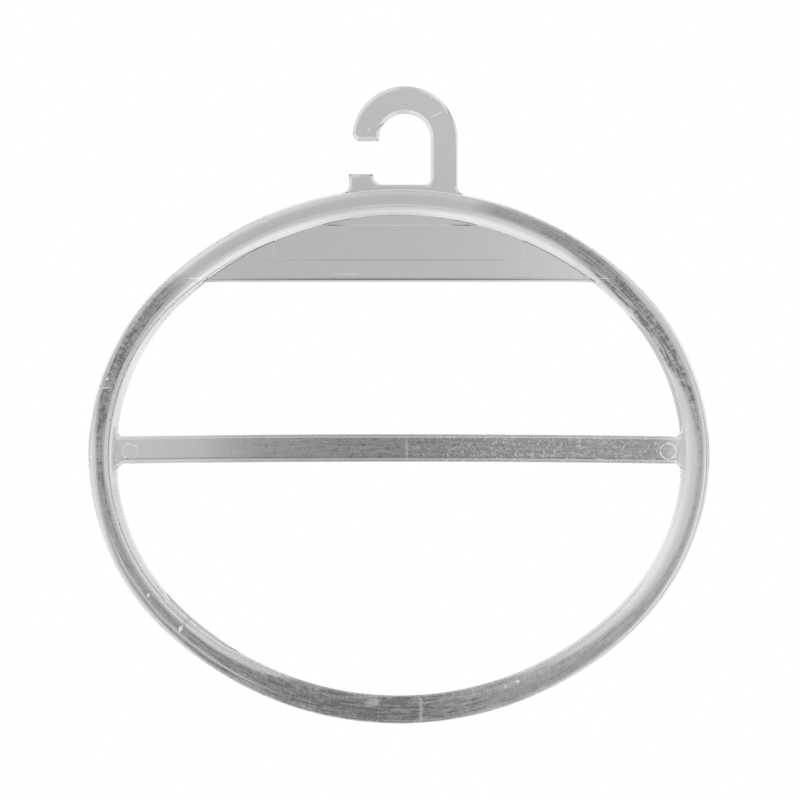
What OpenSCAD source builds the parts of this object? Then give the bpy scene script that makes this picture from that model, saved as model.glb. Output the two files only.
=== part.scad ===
// Scarf hanger: an oval ring under a flat open hook, with a header plate in its crown and a bar across
// it, moulded in one shot in clear polystyrene. Each region of the moulding is a solid of its own.
// They meet face to face: every other region is cut back to the surface of the ring.
// The origin is the centre of the hook's eye. +Z is up and the front faces -Y.

/* [Ring] */
// Width of the ring over its outer edges
ring_w = 190; // [150:1:235]
// Height of the ring over its outer edges
ring_h = 163.6; // [130:0.1:200]
// Width of the ring's bar, seen from the front
rim_w = 8.4; // [7:0.1:11]
// Thickness of the ring's bar, front to back, which its two round shoulders share
rim_t = 6; // [5:0.1:6.8]

/* [Cross bar] */
// Height of the bar
bar_h = 8.4; // [6:0.1:14]
// Thickness of the bar, front to back
bar_t = 4.8; // [3:0.1:5]
// Height of the bar's middle above the middle of the ring
bar_rise = 2.1; // [-20:0.1:20]
// Rounding along the bar's four long edges
bar_edge = 0.6; // [0.3:0.1:1.2]
// Fillet between the bar's upper edge and the ring
bar_fillet_up = 1.6; // [0.8:0.1:6]
// Fillet between the bar's lower edge and the ring
bar_fillet_low = 2.8; // [0.8:0.1:6]
// Diameter of the round mark that each ejector pin leaves on the bar
pin_d = 4.9; // [2:0.1:5.5]
// Depth of that mark
pin_depth = 0.25; // [0.1:0.05:0.5]
// Distance from the ring's inner edge to the middle of that mark
pin_inset = 4.6; // [3.5:0.1:12]

/* [Header plate] */
// Height of the header plate below the crown of the ring, with its lip
header_h = 19.9; // [12:0.1:32]
// Thickness of the plate
plate_t = 2.2; // [1.4:0.1:3]
// Height of the stiffening lip along the lower edge
lip_h = 1.3; // [0.8:0.1:3]
// Thickness of the lip, front to back
lip_t = 3.2; // [3.1:0.1:4.6]
// Rounding along the lip's two lower edges
lip_edge = 0.5; // [0.2:0.1:0.6]
// Fillet between the lip and the ring
lip_fillet = 2.2; // [0.8:0.1:6]
// Width of the sunk label panel
label_w = 76.6; // [40:0.2:90]
// Height of the label panel
label_h = 10.6; // [6:0.1:11]
// Height of bare plate between the lip and the label panel
label_rise = 5.8; // [2:0.1:7]
// Depth of the label panel
label_depth = 0.35; // [0.1:0.05:0.6]

/* [Hook] */
// Radius of the eye, where the rail sits
eye_r = 7.9; // [5:0.1:14]
// Width of the hook's band
band_w = 8.2; // [6:0.1:11]
// Thickness of the hook, front to back
hook_t = 3.2; // [2.4:0.1:4.5]
// Chamfer along the hook's edges
hook_edge = 0.8; // [0.3:0.1:1]
// Height of the eye's middle above the ring's top edge
eye_rise = 15.1; // [13:0.1:30]
// Distance of the eye's middle to the right of the ring's middle
eye_shift = 1.8; // [-10:0.1:10]
// Straight length of the tip below the eye's middle
tip_drop = 0.5; // [0.3:0.1:4]
// Bevel on the outer corner of the tip
tip_bevel = 1.5; // [0.9:0.1:2.5]

/* [Landing pad] */
// Open height between the hook's tip and the landing pad, which the rail passes through
mouth_h = 10.3; // [6:0.1:10.8]
// Width of the pad's flat top
pad_w = 7.3; // [4:0.1:9]
// Distance that the pad's outer side stands out past the tip's
pad_reach = 1; // [0:0.1:4]
// Height of the pad above the strip beside it
pad_h = 3.2; // [2:0.1:3.6]
// Fillet between the strip and the stem
stem_fillet = 2; // [1:0.1:4]
// Fillet between the ring and the outer sides of the pad and the stem
root_fillet = 2.5; // [1:0.1:4]

/* [Hidden] */
$fn = 96;
// Flat steps in a full turn of the ring's long arcs, and of its bar's round shoulders
arc_steps = 360;
shoulder_steps = 48;
// Distance that a cutter runs past the face it opens
past = 0.2;
clear_plastic = [0.70, 0.71, 0.72];

// The ring's bar is carried along an oval of four arcs: an end arc about (end_x, 0), a flat arc about
// (0, -flat_z), and the same two turned half round. Neighbours share their tangent where they join, on
// the line through both centres. That line is the slant of a right triangle of whole numbers, and its
// unit is rounded to a micron, so that the arcs' ends fall on each other to the last digit.
run = 20;
rise = 21;
slant = 29;
unit = round(1000 * (ring_w - ring_h) / 2 / (run + rise - slant)) / 1000;
half_w = (ring_w - rim_w) / 2;
end_x = run * unit;
flat_z = rise * unit;
end_r = half_w - end_x;
flat_r = end_r + slant * unit;
half_h = flat_r - flat_z;
end_sweep = atan2(rise, run);
// Multiple of that triangle which reaches well past the ring
reach = 10;
ring_at = [-eye_shift, -eye_rise - half_h - rim_w / 2];

// The header plate and its lip, above the middle of the ring
header_z = half_h - rim_w / 2 - header_h;
plate_z = header_z + lip_h;
label_z = plate_z + label_rise;

// The hook's band, and the levels of the pad and the strip below the eye's middle
band_r = eye_r + band_w / 2;
hook_r = eye_r + band_w;
pad_z = -tip_drop - mouth_h;
strip_z = pad_z - pad_h;
pad_x = -hook_r - pad_reach;

// Place across the ring, from its middle, of the middle of a fillet of radius f that touches the inner
// edge of the ring from inside, at height z
function fillet_x(z, f) =
    let (inner = rim_w / 2 + f, x = end_x + sqrt(pow(end_r - inner, 2) - z * z))
    atan2(abs(z), x - end_x) <= end_sweep ? x : sqrt(pow(flat_r - inner, 2) - pow(abs(z) + flat_z, 2));

// Height above the ring's middle of the middle of a fillet of radius f that rests on the crown at x
function crown_z(x, f) = sqrt(pow(flat_r + rim_w / 2 + f, 2) - x * x) - flat_z;

// Turns a shape drawn flat, as seen from the front, upright: its thickness runs front to back
module upright() rotate([90, 0, 0]) children();

module flat_oval(inset) {
    join_x = end_x + (end_r - inset) * cos(end_sweep);
    intersection() {
        translate([0, -flat_z]) circle(flat_r - inset, $fn = arc_steps);
        translate([0, flat_z]) circle(flat_r - inset, $fn = arc_steps);
        square([2 * join_x, ring_h], center = true);
    }
    for (side = [-1, 1]) translate([side * end_x, 0]) circle(end_r - inset, $fn = arc_steps);
}

module rim_section() {
    land = rim_w - rim_t;
    square([land, rim_t], center = true);
    for (side = [-1, 1]) translate([side * land / 2, 0]) circle(d = rim_t, $fn = shoulder_steps);
}

// An arc of the ring's bar from one side corner of a triangle, seen from its tip, to the other
module rim_arc(radius, middle, left, right) {
    intersection() {
        rotate_extrude(start = middle - 60, angle = 120, $fn = arc_steps)
            translate([radius, 0]) rim_section();
        linear_extrude(2 * rim_t, center = true) polygon([[0, 0], reach * right, reach * left]);
    }
}

// What lies within the middle line of the ring's bar, front to back
module within_ring() {
    intersection() {
        linear_extrude(2 * rim_t, center = true) flat_oval(0);
        children();
    }
}

module ring() {
    translate(ring_at) for (turn = [0, 180]) rotate(turn) {
        translate([end_x, 0]) rim_arc(end_r, 0, [run, rise], [run, -rise]);
        translate([0, -flat_z]) rim_arc(flat_r, 90, [-run, rise], [run, rise]);
    }
}

// A bar of height h and thickness t along X, with its middle at height z and its chosen edges rounded
module long_bar(h, t, z, edge, top_edge) {
    translate([-half_w, z, 0]) rotate([90, 0, 90]) linear_extrude(2 * half_w) {
        square([h - 2 * edge, t], center = true);
        translate([-h / 2, edge - t / 2]) square([edge, t - 2 * edge]);
        translate([h / 2 - edge, top_edge - t / 2]) square([edge, t - 2 * top_edge]);
        for (y = [-1, 1], side = top_edge > 0 ? [-1, 1] : [-1])
            translate([side * (h / 2 - edge), y * (t / 2 - edge)]) circle(edge);
    }
}

// The web in the corner between the ring and an edge at height z, with the open side up or down (1, -1).
// It is rooted a little way inside the bar that the edge belongs to.
module web(z, open, f, t, root) {
    mid = [fillet_x(z + open * f, f), z + open * f];
    arc_mid = atan2(abs(mid[1]), mid[0] - end_x) <= end_sweep ? [end_x, 0] : [0, -flat_z * sign(mid[1])];
    touch = mid + f * (mid - arc_mid) / norm(mid - arc_mid);
    inside = z - open * root;
    for (side = [0, 1]) mirror([side, 0]) linear_extrude(t, center = true) difference() {
        polygon([[mid[0], z], [mid[0], inside], [half_w, inside], touch]);
        translate(mid) circle(f);
    }
}

module chamfer_profile() {
    low = hook_t / 2 - hook_edge;
    polygon([[past, low - past], [past, hook_t / 2 + past], [-hook_edge - past, hook_t / 2 + past]]);
}

// Chamfer cutters along an edge of the hook plate, front and back. The open side lies left of a line,
// and inside an arc.
module chamfer_line(from, to) {
    run = to - from;
    for (face = [0, 1]) mirror([0, 0, face])
        translate(from) rotate(atan2(run[1], run[0])) rotate([90, 0, 90])
            linear_extrude(norm(run)) chamfer_profile();
}

module chamfer_arc(centre, radius, start, sweep) {
    for (face = [0, 1]) mirror([0, 0, face])
        translate(centre) rotate(start) rotate_extrude(angle = sweep)
            translate([radius, 0]) mirror([1, 0]) chamfer_profile();
}

// The fillet between the crown of the ring and an upright side at x, on its left or right (-1, 1): the
// middle of its arc, and the cutter for its chamfer
function root_mid(x, side) =
    let (out = x + side * root_fillet)
    [out, crown_z(out - ring_at[0], root_fillet) + ring_at[1]];

module root_chamfer(x, side) {
    mid = root_mid(x, side);
    lean_out = atan2(mid[0] - ring_at[0], mid[1] - ring_at[1] + flat_z);
    if (side < 0) chamfer_arc(mid, root_fillet, -90 - lean_out, 90 + lean_out);
    else chamfer_arc(mid, root_fillet, 180, 90 - lean_out);
}

module band_section() {
    flat = band_w / 2 - hook_edge;
    low = hook_t / 2 - hook_edge;
    polygon([
        [flat, -hook_t / 2], [band_w / 2, -low], [band_w / 2, low], [flat, hook_t / 2],
        [-flat, hook_t / 2], [-band_w / 2, low], [-band_w / 2, -low], [-flat, -hook_t / 2]
    ]);
}

// A straight stretch of the hook's band, from the eye's level down
module band_down(x, length) {
    translate([x, 0, 0]) rotate([90, 0, 0]) linear_extrude(length) band_section();
}

module stem() band_down(band_r, eye_rise + rim_w / 2);

// The tip's outer corner is cut off, so that the hook finds the rail, and its lower edges are chamfered
module bevel_tip() {
    low = [tip_bevel - hook_r, -tip_drop];
    side = [-hook_r, tip_bevel - tip_drop];
    linear_extrude(2 * hook_t, center = true) polygon([low, side, side - [tip_bevel, tip_bevel]]);
    chamfer_line([-eye_r, -tip_drop], low);
    chamfer_line(low, side);
}

module oval_rim() color(clear_plastic) upright() ring();

module cross_bar() color(clear_plastic) upright() difference() {
    translate(ring_at) within_ring() union() {
        difference() {
            long_bar(bar_h, bar_t, bar_rise, bar_edge, bar_edge);
            for (side = [-1, 1])
                translate([side * (half_w - rim_w / 2 - pin_inset), bar_rise, bar_t / 2 - pin_depth])
                    cylinder(d = pin_d, h = pin_depth + past);
        }
        web(bar_rise + bar_h / 2, 1, bar_fillet_up, bar_t - 2 * bar_edge, bar_edge);
        web(bar_rise - bar_h / 2, -1, bar_fillet_low, bar_t - 2 * bar_edge, bar_edge);
    }
    ring();
}

module header_plate() color(clear_plastic) upright() difference() {
    translate(ring_at) difference() {
        linear_extrude(plate_t, center = true) intersection() {
            flat_oval(0);
            translate([-half_w, plate_z]) square([2 * half_w, half_h]);
        }
        translate([-label_w / 2, label_z, plate_t / 2 - label_depth])
            cube([label_w, label_h, label_depth + past]);
    }
    ring();
}

module header_lip() color(clear_plastic) upright() difference() {
    translate(ring_at) within_ring() union() {
        long_bar(lip_h, lip_t, header_z + lip_h / 2, lip_edge, 0);
        web(header_z, -1, lip_fillet, lip_t - 2 * lip_edge, lip_edge);
    }
    ring();
}

// The fillet between the stem's right side and the ring, which fills the stem's chamfer down there
module stem_root() {
    mid = root_mid(hook_r, 1);
    low = mid[1] - rim_w / 2;
    difference() {
        linear_extrude(hook_t, center = true) difference() {
            polygon([[band_r, mid[1]], [band_r, low], [mid[0], low], mid]);
            translate(mid) circle(root_fillet);
        }
        root_chamfer(hook_r, 1);
    }
}

module hanging_hook() color(clear_plastic) upright() difference() {
    union() {
        difference() {
            union() {
                rotate_extrude(angle = 180) translate([band_r, 0]) band_section();
                band_down(-band_r, tip_drop);
            }
            bevel_tip();
        }
        stem();
        stem_root();
    }
    ring();
}

// The landing pad on the left, the low strip that joins it to the stem, and the fillets at both ends
module pad_plan() {
    root = root_mid(pad_x, -1);
    low = strip_z - rim_w / 2;
    pad_end = pad_x + pad_w + pad_h;
    stem_end = eye_r - stem_fillet;
    fillet_z = strip_z + stem_fillet;
    difference() {
        polygon([
            [root[0], low], [band_r, low], [band_r, fillet_z], [stem_end, fillet_z], [stem_end, strip_z],
            [pad_end, strip_z], [pad_end, pad_z], [pad_x, pad_z], [pad_x, root[1]], root
        ]);
        translate([pad_end, pad_z]) circle(pad_h);
        translate([stem_end, fillet_z]) circle(stem_fillet);
        translate(root) circle(root_fillet);
    }
}

module landing_pad() color(clear_plastic) upright() difference() {
    pad_in = pad_x + pad_w;
    pad_end = pad_in + pad_h;
    stem_end = eye_r - stem_fillet;
    linear_extrude(hook_t, center = true) pad_plan();
    root_chamfer(pad_x, -1);
    chamfer_line([pad_x, root_mid(pad_x, -1)[1]], [pad_x, pad_z]);
    chamfer_line([pad_x, pad_z], [pad_in, pad_z]);
    chamfer_arc([pad_end, pad_z], pad_h, 180, 90);
    chamfer_line([pad_end, strip_z], [stem_end, strip_z]);
    chamfer_arc([stem_end, strip_z + stem_fillet], stem_fillet, 270, 90);
    stem();
    ring();
}

oval_rim();
cross_bar();
header_plate();
header_lip();
hanging_hook();
landing_pad();
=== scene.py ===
# Scarf hanger: clear moulded polystyrene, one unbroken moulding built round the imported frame
import math
import bpy
import bmesh
import numpy as np
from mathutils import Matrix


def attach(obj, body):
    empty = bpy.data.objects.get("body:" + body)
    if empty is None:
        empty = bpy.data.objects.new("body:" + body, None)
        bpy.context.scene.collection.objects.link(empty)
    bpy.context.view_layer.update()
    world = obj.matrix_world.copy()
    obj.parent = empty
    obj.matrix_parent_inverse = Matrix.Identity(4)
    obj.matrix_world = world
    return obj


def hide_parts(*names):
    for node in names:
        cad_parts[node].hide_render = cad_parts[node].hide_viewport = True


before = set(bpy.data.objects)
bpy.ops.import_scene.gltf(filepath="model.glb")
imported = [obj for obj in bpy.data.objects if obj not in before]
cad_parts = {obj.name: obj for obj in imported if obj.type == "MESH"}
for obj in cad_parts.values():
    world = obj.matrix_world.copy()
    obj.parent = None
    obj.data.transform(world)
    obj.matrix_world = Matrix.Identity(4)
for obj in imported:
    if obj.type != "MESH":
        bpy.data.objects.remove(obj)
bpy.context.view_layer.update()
mm = 0.001


def linearFromHex(code):
    # one sRGB hex colour to linear light, channel by channel
    srgb = np.array([int(code[i:i + 2], 16) for i in (1, 3, 5)]) / 255.0
    low = srgb / 12.92
    high = ((srgb + 0.055) / 1.055) ** 2.4
    return tuple(float(c) for c in np.where(srgb <= 0.04045, low, high)) + (1.0,)


def addNode(tree, kind, inputs=None, **settings):
    # one node with its settings; an input takes a value, an output socket, or a node for its first output
    node = tree.nodes.new(kind)
    for key, value in settings.items():
        setattr(node, key, value)
    for key, value in (inputs or {}).items():
        if isinstance(value, bpy.types.Node):
            value = value.outputs[0]
        if isinstance(value, bpy.types.NodeSocket):
            tree.links.new(value, node.inputs[key])
        else:
            node.inputs[key].default_value = value
    return node


def emptyTree(owner):
    # the node tree of a new material or world, cleared
    owner.use_nodes = True
    owner.node_tree.nodes.clear()
    return owner.node_tree


def levelRamp(tree, share, stops):
    # levels, each at a place between -1 and 1, with straight runs between them
    placed = addNode(tree, "ShaderNodeMapRange", {"Value": share, "From Min": -1.0, "From Max": 1.0})
    ramp = addNode(tree, "ShaderNodeValToRGB", {"Fac": placed})
    elements = ramp.color_ramp.elements
    while len(elements) < len(stops):
        elements.new(0.5)
    for element, (place, level) in zip(elements, stops):
        element.position = (place + 1) / 2
        element.color = (level, level, level, 1)
    return ramp


def meshFromArrays(name, points, faces):
    # points in mm as an (n, 3) array, faces as a list of index tuples or arrays
    mesh = bpy.data.meshes.new(name)
    mesh.from_pydata((np.asarray(points) * mm).tolist(), [], [list(map(int, f)) for f in faces])
    mesh.validate()
    mesh.update()
    piece = bpy.data.objects.new(name, mesh)
    bpy.context.scene.collection.objects.link(piece)
    return piece


def outwardNormals(piece):
    # turns every face of a closed form outwards
    work = bmesh.new()
    work.from_mesh(piece.data)
    bmesh.ops.recalc_face_normals(work, faces=work.faces)
    work.to_mesh(piece.data)
    work.free()


# The ring's middle line is an oval of four arcs on the 20-21-29 triangle, as the frame has it, in mm
ovalShape = {
    "middle": (-1.8, -96.9),          # ring's centre, x and z
    "endX": 22.0, "endR": 68.8,       # an end arc: how far out its centre lies, and its radius
    "flatZ": 23.1, "flatR": 100.7,    # the same for a flat arc, whose centre lies on the other side
    "run": 20.0, "rise": 21.0,        # slope of the line on which two arcs meet
}
endSweep = math.atan2(ovalShape["rise"], ovalShape["run"])     # half the angle of an end arc
flatSweep = math.pi / 2 - endSweep                             # and of a flat one


def ovalAt(along):
    # along runs 0..1 by arc length from the crown, clockwise seen from the front. The point is the arc's
    # centre plus its radius times the outward direction; the direction turns evenly on each arc.
    o, top = ovalShape, flatSweep
    # centre's x and z, radius, first direction and last one
    arcs = [(0.0, -o["flatZ"], o["flatR"], 0.0, top),
            (o["endX"], 0.0, o["endR"], top, math.pi - top),
            (0.0, o["flatZ"], o["flatR"], math.pi - top, math.pi + top),
            (-o["endX"], 0.0, o["endR"], math.pi + top, 2 * math.pi - top),
            (0.0, -o["flatZ"], o["flatR"], 2 * math.pi - top, 2 * math.pi)]
    lengths = np.array([r * (b - a) for _, _, r, a, b in arcs])
    stops = np.concatenate([[0.0], np.cumsum(lengths)])
    s = np.mod(np.asarray(along, float), 1.0) * stops[-1]
    index = np.clip(np.searchsorted(stops, s, side="right") - 1, 0, len(arcs) - 1)
    table = np.array(arcs)[index]
    turn = table[:, 3] + (s - stops[index]) / table[:, 2]
    out = np.stack([np.sin(turn), np.cos(turn)], 1)
    return table[:, :2] + table[:, 2:3] * out + np.array(o["middle"]), out, stops[-1]


def ovalCoordinates(x, z):
    # the reverse: along (0..1) and across (mm outward from the middle line) of points near the ring
    o, top = ovalShape, flatSweep
    px, pz = x - o["middle"][0], z - o["middle"][1]
    side, level = np.sign(px) + (px == 0), np.sign(pz) + (pz == 0)
    ax, az = np.abs(px), np.abs(pz)
    isEnd = np.arctan2(az, ax - o["endX"]) <= endSweep
    cx, cz = np.where(isEnd, o["endX"], 0.0), np.where(isEnd, 0.0, -o["flatZ"])
    radius = np.where(isEnd, o["endR"], o["flatR"])
    across = np.hypot(ax - cx, az - cz) - radius
    turn = np.arctan2(ax - cx, az - cz)      # from the crown, in the upper right quarter
    quarter = o["flatR"] * top + o["endR"] * (math.pi / 2 - top)
    s = np.where(isEnd, o["flatR"] * top + o["endR"] * (turn - top), o["flatR"] * turn)
    s = np.where(level > 0, s, 2 * quarter - s)
    s = np.where(side > 0, s, 4 * quarter - s)
    return s / (4 * quarter), across


def sweptRing(name, sections):
    # one closed profile per station, carried round the oval: point = middle line + across * outward, and the
    # thickness along -Y
    n, m = sections.shape[:2]
    place, out, _ = ovalAt(np.arange(n) / n)
    u, v = sections[..., 0], sections[..., 1]
    x = place[:, 0:1] + out[:, 0:1] * u
    z = place[:, 1:2] + out[:, 1:2] * u
    points = np.stack([x, -v, z], -1).reshape(-1, 3)
    i, j = np.meshgrid(np.arange(n), np.arange(m), indexing="ij")
    a, b = i * m + j, i * m + (j + 1) % m
    c, d = ((i + 1) % n) * m + (j + 1) % m, ((i + 1) % n) * m + j
    return meshFromArrays(name, points, np.stack([a, b, c, d], -1).reshape(-1, 4))


def insetOutline(outline, inset):
    # each corner moves along its bisector by inset / cos(half the turn), so every side moves in by inset;
    # the outline runs anticlockwise in (x, z), so inward lies left of the way
    ahead = np.roll(outline, -1, 0) - outline
    ahead = ahead / np.linalg.norm(ahead, axis=1)[:, None]
    behind = np.roll(ahead, 1, 0)
    inA = np.stack([-ahead[:, 1], ahead[:, 0]], 1)
    inB = np.stack([-behind[:, 1], behind[:, 0]], 1)
    bisector = inA + inB
    scale = 2.0 / np.maximum((bisector ** 2).sum(1), 0.3)      # a very sharp corner is held back
    return outline + bisector * (inset * scale)[:, None]


def mirrored(points):
    # the other half of a symmetric outline, run through backwards
    return points[::-1] * np.array([-1.0, 1.0])


def softened(outline, soft, shrink):
    # each marked corner becomes a curve that starts and ends at a distance of its cut times shrink from it
    rows = []
    t = np.linspace(0, 1, 5)[:, None]
    for k, corner in enumerate(outline):
        if k not in soft:
            rows.append(corner[None])
            continue
        a, b = outline[k - 1] - corner, outline[(k + 1) % len(outline)] - corner
        # never as far as the middle of a side
        a, b = [corner + d / np.linalg.norm(d) * min(soft[k] * shrink, 0.45 * np.linalg.norm(d))
                for d in (a, b)]
        rows.append((1 - t) ** 2 * a + 2 * t * (1 - t) * corner + t ** 2 * b)
    return np.concatenate(rows)


def edgedPlate(name, outline, edge, eased=(), share=1.0):
    # a flat outline given thickness: rings of (inset, y) from the back face to the front one, and two caps.
    # The eased corners are given as (x, z, cut) and are rounded after each ring has been moved in, less so the
    # further in it is. The share of the inset that each corner takes makes one side crisper than another.
    soft = {int(np.argmin(np.hypot(outline[:, 0] - x, outline[:, 1] - z))): cut for x, z, cut in eased}
    rings = [softened(insetOutline(outline, inset * share), soft, 1 / (1 + 2.5 * inset)) for inset, _ in edge]
    n = len(rings[0])
    points = np.concatenate([np.stack([r[:, 0], np.full(n, y), r[:, 1]], 1) for r, (_, y) in zip(rings, edge)])
    k = np.arange(n)
    faces = []
    for level in range(len(edge) - 1):
        a, b = level * n + k, level * n + (k + 1) % n
        faces += np.stack([a, b, b + n, a + n], 1).tolist()
    faces.append((np.arange(n)[::-1]).tolist())
    faces.append((np.arange(n) + (len(edge) - 1) * n).tolist())
    piece = meshFromArrays(name, points, faces)
    outwardNormals(piece)
    return piece


def arcPoints(centre, radius, start, end, step=4.0):
    # points from start to end, in degrees anticlockwise from +X, about a centre in (x, z)
    count = max(3, int(abs(end - start) / step) + 1)
    t = np.radians(np.linspace(start, end, count))
    return np.stack([centre[0] + radius * np.cos(t), centre[1] + radius * np.sin(t)], 1)


def roundedEdge(half, radius, steps=5):
    # quarter rounds between the faces and the side
    t = np.linspace(0, math.pi / 2, steps + 1)
    back = [(radius * (1 - math.sin(a)), half - radius * (1 - math.cos(a))) for a in t]
    return back + [(i, -d) for i, d in reversed(back)]


rimSettings = {
    "halfWidth": 4.2, "halfThickness": 3.0, "land": 1.2,
    "crown": 0.05,          # the land isn't quite flat
    "flash": 0.08,          # parting line proud of the outer and inner edges
    "flashHalf": 0.14,
    "fin": 0.12,            # reach of the torn flash past the inner edge
    "finBack": 0.75,        # how far the round edge stands back there
    "finAlong":  [0.155, 0.170, 0.228, 0.238, 0.600, 0.612, 0.652, 0.658],
    "finAmount": [0.00, 1.00, 1.00, 0.00, 0.00, 0.80, 0.80, 0.00],
    "finAngle": 0.020,      # radians on the round edge from the parting line to the fin's root
    "stations": 720, "shoulderSteps": 17, "landSteps": 11,
}


def rimSections(s):
    # a flattened round bar: two half circles of the thickness, a land between them that is crowned a little,
    # and a hair line of flash where the two halves of the mould meet. Where the flash is torn the inner edge
    # stands back and leaves a thin fin.
    r, land = s["halfThickness"], s["land"]
    t = np.linspace(-math.pi / 2, math.pi / 2, 2 * s["shoulderSteps"] + 1)
    t = np.sort(np.concatenate([t, s["finAngle"] * np.array([-2, -1, 1, 2])]))
    flash = s["flash"] * np.exp(-(r * np.sin(t) / s["flashHalf"]) ** 2)
    right = np.stack([land + (r + flash) * np.cos(t), r * np.sin(t)], 1)
    across = np.linspace(land, -land, s["landSteps"] + 2)[1:-1]
    top = np.stack([across, r + s["crown"] * (1 - (across / land) ** 2)], 1)
    half = np.concatenate([right, top])
    base = np.concatenate([half, -half])
    shift = np.zeros(len(base))
    inner = slice(len(half), len(half) + len(right))
    isFin = np.abs(t) < 1.05 * s["finAngle"]
    shift[inner] = np.where(isFin, -s["fin"], s["finBack"] * np.cos(t))
    amount = np.interp(np.arange(s["stations"]) / s["stations"], s["finAlong"], s["finAmount"])
    sections = np.repeat(base[None], s["stations"], 0)
    sections[..., 0] += amount[:, None] * shift
    return sections


rim = sweptRing("rimForm", rimSections(rimSettings))
outwardNormals(rim)
print("ring made:", len(rim.data.polygons), "faces")


barSettings = {
    "middleZ": -95.1, "height": 8.4, "halfThickness": 2.4, "edge": 0.95,
    "bow": 0.65,                       # its middle stands a little higher than its ends
    "halfLength": 86.0,                # over which the bow and the wear are reckoned in its material
    "filletUp": 1.6, "filletLow": 2.8,
    "runOn": 1.3, "rootDepth": 3.0,    # how far the fillets and the ends go on inside the ring
    "steps": 60,
    "pinDiameter": 4.9, "pinDepth": 0.30, "pinDraft": 0.25,
    "pinInset": 4.6, "pinDrop": 0.35,  # from the ring's inner edge, and below the bar's middle
    "pinLevel": 2.1,                   # height above the ring's middle at which that edge is taken
}


def innerEdgeX(z, f=0.0):
    # half width of the ring's inner edge, moved in by f, at height z above the ring's middle: the end arc's
    # centre plus the root of radius squared less height squared
    o = ovalShape
    r = o["endR"] - rimSettings["halfWidth"] - f
    return o["endX"] + math.sqrt(r * r - z * z)


def barOutline(s):
    # anticlockwise from the lower left: two long sides that bow up as 1 - (x / half length) ** 2, and at each
    # corner a fillet that touches the ring's inner edge and runs on inside the ring
    cx, cz = ovalShape["middle"]
    top, low = s["middleZ"] + s["height"] / 2 - cz, s["middleZ"] - s["height"] / 2 - cz
    fu, fl = s["filletUp"], s["filletLow"]
    xu, xl = innerEdgeX(top + fu, fu), innerEdgeX(low - fl, fl)
    innerR = ovalShape["endR"] - rimSettings["halfWidth"]
    leanUp, leanLow = math.asin((top + fu) / (innerR - fu)), math.asin((fl - low) / (innerR - fl))
    x = np.linspace(-xl, xl, s["steps"])[1:-1]
    lower = np.stack([x, low + s["bow"] * (1 - (x / xl) ** 2)], 1)
    x = np.linspace(xu, -xu, s["steps"])[1:-1]
    upper = np.stack([x, top + s["bow"] * (1 - (x / xu) ** 2)], 1)
    rightLow = arcPoints((xl, low - fl), fl, 90, -math.degrees(leanLow), 6)
    rightUp = arcPoints((xu, top + fu), fu, math.degrees(leanUp), -90, 6)
    onward = s["runOn"] * np.array([[-math.sin(leanLow), -math.cos(leanLow)],
                                    [-math.sin(leanUp), math.cos(leanUp)]])
    hidden = np.array([rightLow[-1], rightUp[0]]) + onward
    deep = innerEdgeX(0) + s["rootDepth"]
    rightEnd = np.array([hidden[0], [deep, hidden[0, 1]], [deep, hidden[1, 1]], hidden[1]])
    outline = np.concatenate([lower, rightLow, rightEnd, rightUp, upper,
                              mirrored(rightUp), mirrored(rightEnd), mirrored(rightLow)])
    return outline + np.array([cx, cz])


def recessCutter(name, outline, face, depth, draft):
    # cuts a shallow recess into a front face, from 1 mm outside it: its walls lean out by the draft
    return edgedPlate(name, outline, [(draft, face + depth), (0, face), (0, face - 1.0)])


def makeBar(s):
    # the bar, and the cutters for its two round ejector marks
    form = edgedPlate("barForm", barOutline(s), roundedEdge(s["halfThickness"], s["edge"]))
    reach = innerEdgeX(s["pinLevel"]) - s["pinInset"]
    cutters = []
    for side in (-1, 1):
        centre = (ovalShape["middle"][0] + side * reach, s["middleZ"] - s["pinDrop"])
        circle = arcPoints(centre, s["pinDiameter"] / 2, 0, 352.5, 7.5)      # 48 points round
        cutters.append(recessCutter("pinMark", circle, -s["halfThickness"], s["pinDepth"], s["pinDraft"]))
    return form, cutters


bar, pins = makeBar(barSettings)
print("cross bar made")


headerSettings = {
    "halfThickness": 1.1, "lowZ": -43.75,
    "plateLift": 0.6,                      # the plate ends this far above the lip's lower edge, inside the lip
    "archSteps": 241, "archFrom": 0.3,     # points along the ring's upper half, and where the first is used
    "lipHeight": 1.65, "lipHalf": 1.6, "lipEdge": 0.62, "lipFillet": 2.2,
    "lipRoot": (2.2, 0.6),                 # how far its ends go on inside the ring
    "lipCrisp": 0.6, "crispBelow": 0.3,    # its lower edge, up to this height, is rounded this much less
    "labelWidth": 76.6, "labelLow": -36.9, "labelHeight": 10.6, "labelDepth": 0.35, "labelDraft": 0.2,
}


def headerOutline(s):
    # the ring's middle line above, cut off level below
    low = s["lowZ"] + s["plateLift"]
    place, _, _ = ovalAt(np.linspace(-0.25, 0.25, s["archSteps"]))
    arch = place[place[:, 1] > low + s["archFrom"]][::-1]
    return np.concatenate([[[arch[-1, 0], low], [arch[0, 0], low]], arch])


def lipOutline(s):
    # a level strip, anticlockwise: each lower corner is a fillet that touches the ring's inner edge, and the
    # ends lie inside the ring
    o = ovalShape
    low, f = s["lowZ"] - o["middle"][1], s["lipFillet"]
    radius, rise = o["flatR"] - rimSettings["halfWidth"] - f, low - f + o["flatZ"]
    xm = math.sqrt(radius ** 2 - rise ** 2)
    corner = arcPoints((xm, low - f), f, 90, math.degrees(math.atan2(rise, xm)), 5)
    deep = corner[-1] + np.array(s["lipRoot"])
    high = np.array([deep[0], low + s["lipHeight"]])
    right = np.concatenate([corner, [deep, high]])
    return np.concatenate([right, mirrored(right)]) + np.array(o["middle"])


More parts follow.
